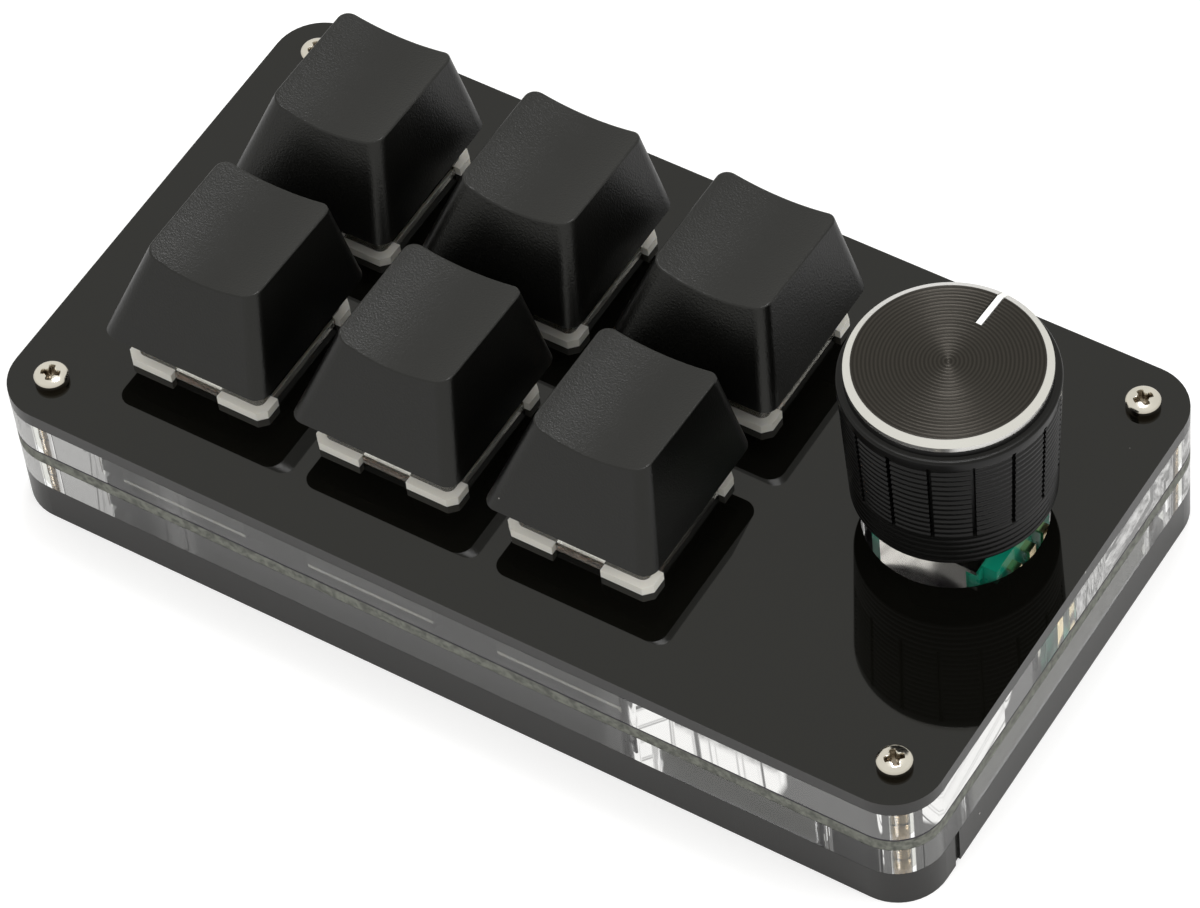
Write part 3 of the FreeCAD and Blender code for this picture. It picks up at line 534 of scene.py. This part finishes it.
def turned_face_finish(knob):
    """Black turned face with circular marks, and the bright bevel cut round it."""
    rim_start, rim_end = 8.64 * MM, 8.68 * MM
    material, tree, shader = new_finish(
        "turned cap", knob.face, 0.3, Metallic=1.0, Anisotropic=0.92, Anisotropic_Rotation=0.25)
    place = put(tree, "ShaderNodeTexCoord").outputs["Object"]
    offset = put(tree, "ShaderNodeVectorMath", operation="SUBTRACT")
    tree.links.new(place, offset.inputs[0])
    offset.inputs[1].default_value = (KNOB_CENTRE.x, KNOB_CENTRE.y, 0.0)
    split = put(tree, "ShaderNodeSeparateXYZ")
    tree.links.new(offset.outputs[0], split.inputs[0])
    x, y = split.outputs["X"], split.outputs["Y"]
    radius = maths(tree, "SQRT", maths(
        tree, "ADD", maths(tree, "MULTIPLY", x, x), maths(tree, "MULTIPLY", y, y)))
    turns = maths(tree, "MULTIPLY", radius, 2 * math.pi / knob.ring_pitch)
    marks = maths(tree, "SINE", turns)
    uneven = put(tree, "ShaderNodeTexNoise", noise_dimensions="1D")
    feed(tree, uneven, W=radius, Scale=3800.0, Detail=3.0)
    height = maths(tree, "ADD", marks, maths(tree, "MULTIPLY", uneven.outputs["Fac"], 1.6))
    rim = ramp(tree, radius, rim_start, rim_end)
    face = blend_colours(tree, ramp(tree, marks, -1.0, 1.0),
                         shade(knob.face, 0.75), shade(knob.face, 1.25))
    tangent = put(tree, "ShaderNodeTangent", direction_type="RADIAL", axis="Z")
    feed(tree, shader,
         Base_Color=blend_colours(tree, rim, face, knob.rim),
         Roughness=ramp(tree, rim, 0.0, 1.0, 0.36, 0.16),
         Normal=bump(tree, maths(tree, "MULTIPLY", height, maths(tree, "SUBTRACT", 1.0, rim)),
                     1.0, 0.03 * MM),
         Tangent=tangent.outputs[0])
    return material


# Meshes

def to_piece(name, mesh, material, smooth=True):
    """Puts a bmesh into the scene as a piece."""
    bmesh.ops.remove_doubles(mesh, verts=mesh.verts, dist=1e-7)
    bmesh.ops.recalc_face_normals(mesh, faces=mesh.faces)
    data = bpy.data.meshes.new(name)
    mesh.to_mesh(data)
    mesh.free()
    data.materials.append(material)
    piece = bpy.data.objects.new(name, data)
    bpy.context.scene.collection.objects.link(piece)
    if smooth:
        for polygon in data.polygons:
            polygon.use_smooth = True
    return piece


def turned_grid(mesh, rows, angles, place):
    """Faces over a grid: place(row, angle) gives each point; the angles close on themselves."""
    ring = [[mesh.verts.new(place(row, angle)) for angle in angles] for row in rows]
    count = len(angles)
    for low, high in zip(ring, ring[1:]):
        for n in range(count):
            mesh.faces.new((low[n], low[(n + 1) % count], high[(n + 1) % count], high[n]))
    return ring


def step(value, low, high):
    """0 below low, 1 above high, smooth between."""
    part = min(1.0, max(0.0, (value - low) / (high - low)))
    return part * part * (3 - 2 * part)


def reshaped(name, node, material, body, move):
    """A piece made from a node's mesh with each corner moved by move(corner)."""
    data = NODES[node].data.copy()
    for vertex in data.vertices:
        vertex.co = move(vertex.co.copy())
    data.materials.clear()
    data.materials.append(material)
    piece = bpy.data.objects.new(name, data)
    bpy.context.scene.collection.objects.link(piece)
    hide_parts(node)
    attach(piece, body)


def clear_sheet(node, material, gap):
    """A clear sheet drawn in by the air gap above and below, so that its faces reflect."""
    low, high = (corner.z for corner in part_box(node))

    def drawn_in(corner):
        corner.z = min(max(corner.z, low + gap), high - gap)
        return corner

    reshaped("clear_" + node, node, material, "case", drawn_in)


def recess_depth(x, y, screws):
    """Depth of the cross recess at a point of the head."""
    deepest = 0.75 * MM
    span = screws.recess_span / 2
    depth = 0.0
    for along, across in ((x, y), (y, x)):
        reach = 1 - step(abs(along), span * 0.78, span)
        wing = 1 - step(abs(across), span * 0.20, span * 0.30)
        depth = max(depth, reach * wing)
    middle = 1 - step(math.hypot(x, y), span * 0.30, span * 0.62)
    return deepest * max(depth, middle * 0.9)


def corner_screw(mesh, x, y, screws, turn):
    """One screw: a domed head with a cross recess on a threaded shank."""
    radius = screws.head_width / 2
    base = PLATE_FACE
    dome = 0.42 * screws.head_height
    rings, sides = 26, 72
    rows = [radius * (n / rings) for n in range(1, rings + 1)]
    angles = [2 * math.pi * n / sides for n in range(sides)]

    def head_point(r, angle):
        px, py = r * math.cos(angle), r * math.sin(angle)
        c, s = math.cos(turn), math.sin(turn)
        fall = dome * (1 - math.sqrt(max(0.0, 1 - (r / radius) ** 2 * 0.97)))
        z = base + screws.head_height - fall - recess_depth(px, py, screws)
        return (x + px * c - py * s, y + px * s + py * c, z)

    ring = turned_grid(mesh, rows, angles, head_point)
    mesh.faces.new(ring[0])
    skirt = [(radius, screws.head_height - dome * 0.83), (radius, 0.12 * MM), (radius * 0.98, 0.0)]
    turned_grid(
        mesh, skirt, angles,
        lambda row, angle: (x + row[0] * math.cos(angle), y + row[0] * math.sin(angle),
                            base + row[1]))
    thread = screws.thread_width / 2
    core = thread - 0.6 * screws.thread_pitch
    shank_sides, rows_a_turn = 24, 6
    shank_angles = [2 * math.pi * n / shank_sides for n in range(shank_sides)]
    length = base - SCREW_LOW.z
    samples = int(length / screws.thread_pitch * rows_a_turn)
    heights = [base - length * n / samples for n in range(samples + 1)]

    def shank_point(z, angle):
        phase = (z / screws.thread_pitch - angle / (2 * math.pi)) % 1.0
        crest = 1 - abs(2 * phase - 1)
        ease = step(base - z, 0.0, 0.5 * MM) * step(z - SCREW_LOW.z, 0.0, 0.6 * MM)
        r = core + (thread - core) * crest * ease
        return (x + r * math.cos(angle), y + r * math.sin(angle), z)

    shank = turned_grid(mesh, heights, shank_angles, shank_point)
    mesh.faces.new(shank[-1])


def grip_profile(knob):
    """Rows up the outside of the grip: height, radius, cut of a ring and share of a groove."""
    bottom, seat = KNOB_LOW.z - PLATE_FACE, KNOB_HIGH.z - PLATE_FACE
    shoulder = seat - 1.1 * MM
    high_radius = (KNOB_HIGH.x - KNOB_LOW.x) / 2
    low_radius, neck_radius = high_radius - 0.6 * MM, high_radius - 0.7 * MM
    band_top, panel_top = bottom + 4.1 * MM, shoulder - 0.75 * MM
    rows_a_ring = 8
    rows = []

    def radius_at(height):
        return low_radius + (height - bottom) / (shoulder - bottom) * (high_radius - low_radius)

    def rings(start, end, count, depth, share):
        for n in range(count * rows_a_ring + 1):
            phase = n / rows_a_ring % 1.0
            cut = depth * (0.5 - 0.5 * math.cos(2 * math.pi * phase)) ** 1.5
            height = start + (end - start) * n / (count * rows_a_ring)
            rows.append((height, radius_at(height), cut, share))

    rows.append((bottom, radius_at(bottom) - 0.25 * MM, 0.0, 0.0))
    rows.append((bottom + 0.08 * MM, radius_at(bottom) - 0.07 * MM, 0.0, 0.0))
    rings(bottom + 0.25 * MM, band_top - 0.10 * MM, knob.fine_rings, knob.ridge_depth * 0.6, 0.0)
    rings(band_top + 0.05 * MM, panel_top - 0.10 * MM, knob.ridges, knob.ridge_depth, 1.0)
    rows.append((panel_top + 0.10 * MM, radius_at(panel_top), 0.0, 0.0))
    for n in range(7):
        angle = math.radians(90 * n / 6)
        rows.append((shoulder + 0.05 * MM + 0.25 * MM * math.sin(angle),
                     high_radius - 0.25 * MM * (1 - math.cos(angle)), 0.0, 0.0))
    rows.append((shoulder + 0.32 * MM, neck_radius + 0.28 * MM, 0.0, 0.0))
    rows.append((shoulder + 0.45 * MM, neck_radius + 0.05 * MM, 0.0, 0.0))
    rows.append((seat, neck_radius, 0.0, 0.0))
    return rows


def knob_grip(knob, material):
    """The grip: ringed panels between upright grooves, hollow inside round the hub."""
    mesh = bmesh.new()
    mean_radius = 9.7 * MM
    half = math.degrees(knob.groove_width / 2 / mean_radius)
    sector = 360 / knob.grooves
    panel = sector - 2 * half
    offsets = [-half, -half * 0.86, -half * 0.45, 0.0, half * 0.45, half * 0.86]
    offsets += [half + panel * n / 10 for n in range(10)]
    angles = []
    depths = {}
    for number in range(knob.grooves):
        for n, offset in enumerate(offsets):
            angle = math.radians(sector * number + offset) + knob.groove_turn
            angles.append(angle)
            depths[angle] = 1.0 if 0 < n < 6 else 0.0
    centre = KNOB_CENTRE

    def wall(row, angle):
        height, radius, cut, share = row
        radius -= max(cut, knob.groove_depth * share * depths[angle])
        return (centre.x + radius * math.cos(angle), centre.y + radius * math.sin(angle),
                PLATE_FACE + height)

    outside = turned_grid(mesh, grip_profile(knob), angles, wall)
    mesh.faces.new(outside[-1])
    low = KNOB_LOW.z - PLATE_FACE
    roof, hub_low, bore_top = 18.8 * MM, 7.6 * MM, 17.0 * MM
    lip, mouth, roof_radius, hub, bore = 9.2 * MM, 7.95 * MM, 8.5 * MM, 4.6 * MM, 3.02 * MM
    inside = [(low, lip), (low, mouth), (roof, roof_radius), (roof, hub),
              (hub_low, hub), (hub_low, bore), (bore_top, bore)]
    hollow = turned_grid(mesh, [(*place, 0.0, 0.0) for place in inside], angles, wall)
    mesh.faces.new(hollow[-1])
    piece = to_piece("knob_grip", mesh, material)
    modifier = piece.modifiers.new("Crisp edges", "EDGE_SPLIT")
    modifier.split_angle = math.radians(38)
    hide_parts("knob_body")
    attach(piece, "knob")


# Operators

def keypad_of(context):
    """The keypad's settings in the scene."""
    return context.scene.keypad


class KEYPAD_OT_sheets(bpy.types.Operator):
    """Finishes the black sheets and the board, and builds the clear sheets"""
    bl_idname = "keypad.sheets"
    bl_label = "Stacked sheets"

    def execute(self, context):
        sheets = keypad_of(context).sheets
        dress(black_sheet_finish(sheets), "top_plate", "base_plate")
        dress(board_finish(sheets), "circuit_board")
        clear = clear_sheet_finish(sheets)
        for node in ("lower_spacer", "upper_spacer"):
            clear_sheet(node, clear, sheets.air_gap)
        return {"FINISHED"}


class KEYPAD_OT_fasteners(bpy.types.Operator):
    """Builds the corner screws and finishes the nuts"""
    bl_idname = "keypad.fasteners"
    bl_label = "Screws and nuts"

    def execute(self, context):
        screws = keypad_of(context).screws
        nickel = screw_finish(screws)
        mesh = bmesh.new()
        inset = 1.7 * MM
        places = [(SCREW_LOW.x + inset, SCREW_LOW.y + inset, 0.35),
                  (SCREW_HIGH.x - inset, SCREW_LOW.y + inset, 0.75),
                  (SCREW_LOW.x + inset, SCREW_HIGH.y - inset, 0.8),
                  (SCREW_HIGH.x - inset, SCREW_HIGH.y - inset, 0.9)]
        for x, y, turn in places:
            corner_screw(mesh, x, y, screws, turn)
        piece = to_piece("corner_screws", mesh, nickel)
        modifier = piece.modifiers.new("Crisp edges", "EDGE_SPLIT")
        modifier.split_angle = math.radians(50)
        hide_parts("case_screws")
        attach(piece, "case")
        steel = metal_finish("steel", STEEL, 0.3)
        dress(steel, "corner_nuts", "usb_shell", "encoder_dome", *numbered("switch_%d_spring"))
        return {"FINISHED"}


class KEYPAD_OT_switches(bpy.types.Operator):
    """Finishes housings, covers, contacts and sliders of the six switches"""
    bl_idname = "keypad.switches"
    bl_label = "Switches"

    def execute(self, context):
        keys = keypad_of(context).keys
        milky = moulded_finish("milky moulding", keys.housing, 0.42, grain=3000.0, depth=0.10,
                               vary=0.04, Subsurface_Weight=0.25,
                               Subsurface_Radius=(1.0, 0.9, 0.7), Subsurface_Scale=0.6 * MM)
        dress(milky, *numbered("switch_%d_housing"))
        dress(cover_finish(keys), *numbered("switch_%d_cover"))
        dress(metal_finish("copper leaf", keys.copper, 0.26), *numbered("switch_%d_contacts"))
        dress(moulded_finish("slider moulding", SLIDER_PLASTIC, 0.4), *numbered("key_%d_stem"))
        return {"FINISHED"}


class KEYPAD_OT_keycaps(bpy.types.Operator):
    """Finishes the six keycaps"""
    bl_idname = "keypad.keycaps"
    bl_label = "Keycaps"

    def execute(self, context):
        keys = keypad_of(context).keys
        cap = moulded_finish("keycap moulding", keys.cap, keys.cap_roughness,
                             grain=1.0 / keys.grain, depth=0.7, relief=0.04, vary=0.10, dusty=0.03)
        dress(cap, *numbered("key_%d_cap"))
        return {"FINISHED"}


class KEYPAD_OT_electronics(bpy.types.Operator):
    """Finishes the connector's tongue and the controller"""
    bl_idname = "keypad.electronics"
    bl_label = "Connector and controller"

    def execute(self, context):
        black = moulded_finish("black moulding", BLACK_MOULDING, 0.5)
        dress(black, "usb_tongue", "controller_chip")
        return {"FINISHED"}


class KEYPAD_OT_encoder(bpy.types.Operator):
    """Finishes the encoder that shows under the knob"""
    bl_idname = "keypad.encoder"
    bl_label = "Encoder"

    def execute(self, context):
        knob = keypad_of(context).knob
        resin = moulded_finish("green resin", knob.resin, 0.28, grain=2200.0, depth=0.08)
        sheet = metal_finish("bright sheet", BRIGHT_SHEET, 0.16)
        gold = metal_finish("gold plate", knob.gold, 0.2)
        fixed_below = 12.5 * MM

        def raised(corner):
            if corner.z > fixed_below:
                corner.z += knob.encoder_rise
            return corner

        reshaped("encoder_resin", "encoder_base", resin, "case", raised)
        reshaped("encoder_cage", "encoder_frame", sheet, "case", raised)
        reshaped("encoder_pins", "encoder_terminals", gold, "case", raised)
        turned = metal_finish("turned metal", TURNED_METAL, 0.28, along=(2500.0, 2500.0, 2500.0))
        dress(turned, "encoder_bushing", "encoder_shaft")
        dress(moulded_finish("white rod", WHITE_ROD, 0.45), "encoder_plunger")
        return {"FINISHED"}


class KEYPAD_OT_knob(bpy.types.Operator):
    """Builds the ringed grip and finishes the turned cap and its pointer"""
    bl_idname = "keypad.knob"
    bl_label = "Knob"

    def execute(self, context):
        knob = keypad_of(context).knob
        grip = moulded_finish("satin grip", knob.grip, 0.30, grain=7000.0, depth=0.12, vary=0.15,
                              Specular_IOR_Level=0.26)
        knob_grip(knob, grip)
        dress(turned_face_finish(knob), "knob_cap")
        enamel = moulded_finish("pointer enamel", POINTER_ENAMEL, 0.3, depth=0.05, vary=0.02)
        low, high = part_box("knob_pointer")
        along = ((low + high) / 2 - KNOB_CENTRE).xy.normalized()
        across = Vector((-along.y, along.x))

        def narrowed(corner):
            offset = across.dot(corner.xy - KNOB_CENTRE.xy) * (1 - knob.pointer_width)
            return Vector((corner.x - across.x * offset, corner.y - across.y * offset, corner.z))

        reshaped("pointer", "knob_pointer", enamel, "knob", narrowed)
        return {"FINISHED"}


def camera_axes(stage):
    """Right, up and backward directions of the camera."""
    azimuth, elevation, roll = stage.azimuth, stage.elevation, stage.roll
    back = Vector((math.sin(azimuth) * math.cos(elevation),
                   -math.cos(azimuth) * math.cos(elevation), math.sin(elevation)))
    right = Vector((math.cos(azimuth), math.sin(azimuth), 0.0))
    up = back.cross(right)
    turned_right = math.cos(roll) * right + math.sin(roll) * up
    turned_up = math.cos(roll) * up - math.sin(roll) * right
    return turned_right, turned_up, back


def softbox(name, place, aim, width, height, power, mirrored=True):
    """A rectangular lamp that faces a point, and that glossy pieces may mirror."""
    lamp = bpy.data.lights.new(name, "AREA")
    lamp.shape = "RECTANGLE"
    lamp.size = width
    lamp.size_y = height
    lamp.energy = power
    piece = bpy.data.objects.new(name, lamp)
    piece.location = place
    piece.rotation_euler = (Vector(aim) - Vector(place)).to_track_quat("-Z", "Y").to_euler()
    piece.visible_glossy = mirrored
    bpy.context.scene.collection.objects.link(piece)


def seen_white(tree, plain, bright):
    """Mixes in a second shader for what the camera, gloss and glass see."""
    path = put(tree, "ShaderNodeLightPath")
    seen = maths(tree, "MAXIMUM", path.outputs["Is Camera Ray"], maths(
        tree, "MAXIMUM", path.outputs["Is Glossy Ray"], path.outputs["Is Transmission Ray"]))
    mix = put(tree, "ShaderNodeMixShader")
    tree.links.new(seen, mix.inputs[0])
    tree.links.new(plain, mix.inputs[1])
    tree.links.new(bright, mix.inputs[2])
    return mix.outputs[0]


class KEYPAD_OT_stage(bpy.types.Operator):
    """Sets the floor, the room's light, the lamps and the camera"""
    bl_idname = "keypad.stage"
    bl_label = "Stage"

    def execute(self, context):
        stage = keypad_of(context).stage
        scene = context.scene
        half = stage.floor_width / 2
        floor_drop = 0.02 * MM
        mesh = bmesh.new()
        corners = [mesh.verts.new((sx * half, sy * half, -floor_drop))
                   for sx, sy in ((-1, -1), (1, -1), (1, 1), (-1, 1))]
        mesh.faces.new(corners)
        material, tree, shader = new_finish("floor", stage.floor, 0.6)
        grain = effect(tree, "grain", Grain=300.0, Patch=3.0)
        tint = blend_colours(tree, grain.outputs["Patches"],
                             shade(stage.floor, 0.99), shade(stage.floor, 1.01))
        path = put(tree, "ShaderNodeLightPath")
        seen = maths(tree, "MAXIMUM",
                     path.outputs["Is Camera Ray"], path.outputs["Is Transmission Ray"])
        glow = maths(tree, "MULTIPLY", seen, stage.floor_glow)
        feed(tree, shader, Base_Color=tint, Emission_Color=(1.0, 1.0, 1.0, 1.0),
             Emission_Strength=glow)
        material.cycles.emission_sampling = "NONE"
        floor = to_piece("floor", mesh, material, smooth=False)

        world = bpy.data.worlds.new("white room")
        world.use_nodes = True
        scene.world = world
        tree = world.node_tree
        tree.nodes.clear()
        room = feed(tree, put(tree, "ShaderNodeBackground"), Color=(1.0, 0.99, 0.975, 1.0),
                    Strength=stage.room_light)
        white = feed(tree, put(tree, "ShaderNodeBackground"), Color=(1.0, 0.995, 0.93, 1.0),
                     Strength=stage.room_seen)
        output = put(tree, "ShaderNodeOutputWorld")
        tree.links.new(seen_white(tree, room.outputs[0], white.outputs[0]),
                       output.inputs["Surface"])

        softbox("front_softbox", place=(0.10, -0.75, 0.75), aim=(0.0, 0.0, 0.02),
                width=0.5, height=0.4, power=3.0, mirrored=False)
        softbox("right_softbox", place=(0.75, 0.15, 0.45), aim=(0.0, 0.0, 0.0),
                width=0.5, height=0.4, power=3.0, mirrored=False)
        softbox("top_softbox", place=(-0.096, 0.2165, 0.87), aim=(0.036, 0.004, 0.037),
                width=0.16, height=0.16, power=1.5)

        right, up, back = camera_axes(stage)
        camera_data = bpy.data.cameras.new("camera")
        camera_data.lens = stage.lens
        camera_data.sensor_width = 36.0
        camera_data.sensor_fit = "HORIZONTAL"
        camera_data.clip_start = 0.01
        camera = bpy.data.objects.new("camera", camera_data)
        place = Vector(stage.aim) + stage.distance * back
        turn = Matrix((right, up, back)).transposed().to_4x4()
        camera.matrix_world = Matrix.Translation(place) @ turn
        scene.collection.objects.link(camera)
        scene.camera = camera
        scene.view_settings.view_transform = "Standard"
        return {"FINISHED"}


class KeypadSettings(bpy.types.PropertyGroup):
    """Everything a user would change on the keypad"""
    sheets: PointerProperty(type=SheetSettings, name="Sheets", description="The stacked sheets")
    screws: PointerProperty(type=ScrewSettings, name="Screws", description="The corner screws")
    keys: PointerProperty(type=KeySettings, name="Keys", description="Keys and switches")
    knob: PointerProperty(type=KnobSettings, name="Knob", description="Knob and encoder")
    stage: PointerProperty(type=StageSettings, name="Stage", description="Floor, light, camera")


class KEYPAD_PT_panel(bpy.types.Panel):
    """Lists the keypad's settings and steps"""
    bl_idname = "KEYPAD_PT_panel"
    bl_label = "Macro keypad"
    bl_space_type = "VIEW_3D"
    bl_region_type = "UI"
    bl_category = "Keypad"

    def draw(self, context):
        keypad = keypad_of(context)
        for group, steps in PANEL_ROWS:
            box = self.layout.box()
            for operator in steps:
                box.operator(operator.bl_idname)
            settings = getattr(keypad, group)
            for name in type(settings).__annotations__:
                box.prop(settings, name)


STEPS = (KEYPAD_OT_sheets, KEYPAD_OT_fasteners, KEYPAD_OT_switches, KEYPAD_OT_keycaps,
         KEYPAD_OT_electronics, KEYPAD_OT_encoder, KEYPAD_OT_knob, KEYPAD_OT_stage)
PANEL_ROWS = (
    ("sheets", (KEYPAD_OT_sheets, KEYPAD_OT_electronics)),
    ("screws", (KEYPAD_OT_fasteners,)),
    ("keys", (KEYPAD_OT_switches, KEYPAD_OT_keycaps)),
    ("knob", (KEYPAD_OT_encoder, KEYPAD_OT_knob)),
    ("stage", (KEYPAD_OT_stage,)),
)
CLASSES = (SheetSettings, ScrewSettings, KeySettings, KnobSettings, StageSettings, KeypadSettings,
           *STEPS, KEYPAD_PT_panel)


def register():
    """Registers the classes and the scene's settings."""
    for item in CLASSES:
        bpy.utils.register_class(item)
    bpy.types.Scene.keypad = PointerProperty(type=KeypadSettings)


def unregister():
    """Takes them out again."""
    del bpy.types.Scene.keypad
    for item in reversed(CLASSES):
        bpy.utils.unregister_class(item)


def main():
    """Registers the classes and runs every step."""
    register()
    for item in STEPS:
        group, name = item.bl_idname.split(".")
        getattr(getattr(bpy.ops, group), name)()


if __name__ == "__main__":
    main()
